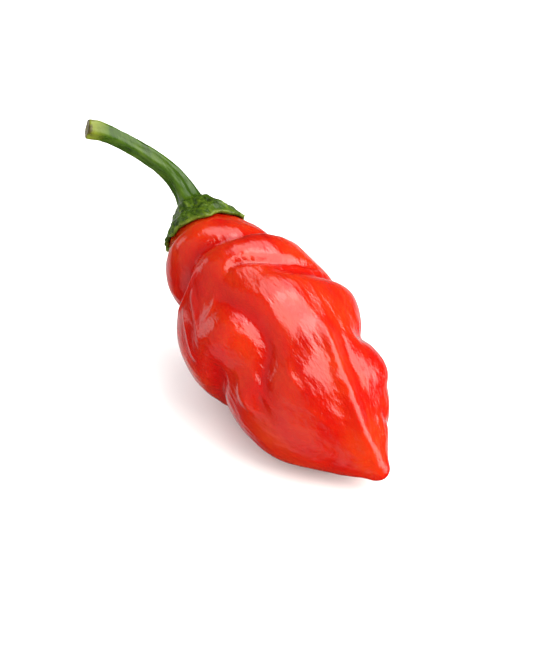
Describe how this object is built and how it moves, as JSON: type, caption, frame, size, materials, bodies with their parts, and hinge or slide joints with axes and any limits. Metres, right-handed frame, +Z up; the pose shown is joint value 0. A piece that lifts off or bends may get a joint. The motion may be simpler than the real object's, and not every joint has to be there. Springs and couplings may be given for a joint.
{
  "type": "chilli pepper",
  "caption": "Lobed red chilli pepper with a pointed tip, lying on its side, with its green calyx and curved stem.",
  "frame": {"origin": "on the surface it rests on, under the middle of the whole pepper's box", "axes": "+X along the fruit from the stem end towards the tip, level; +Z up"},
  "size_m": [0.0842, 0.0322, 0.04],
  "materials": {
    "red_skin": "waxy gloss, finely wrinkled",
    "green_stem": "satin, ribbed"
  },
  "bodies": {
    "root": {"fruit": "red_skin", "stem_calyx": "green_stem"}
  },
  "joints": []
}
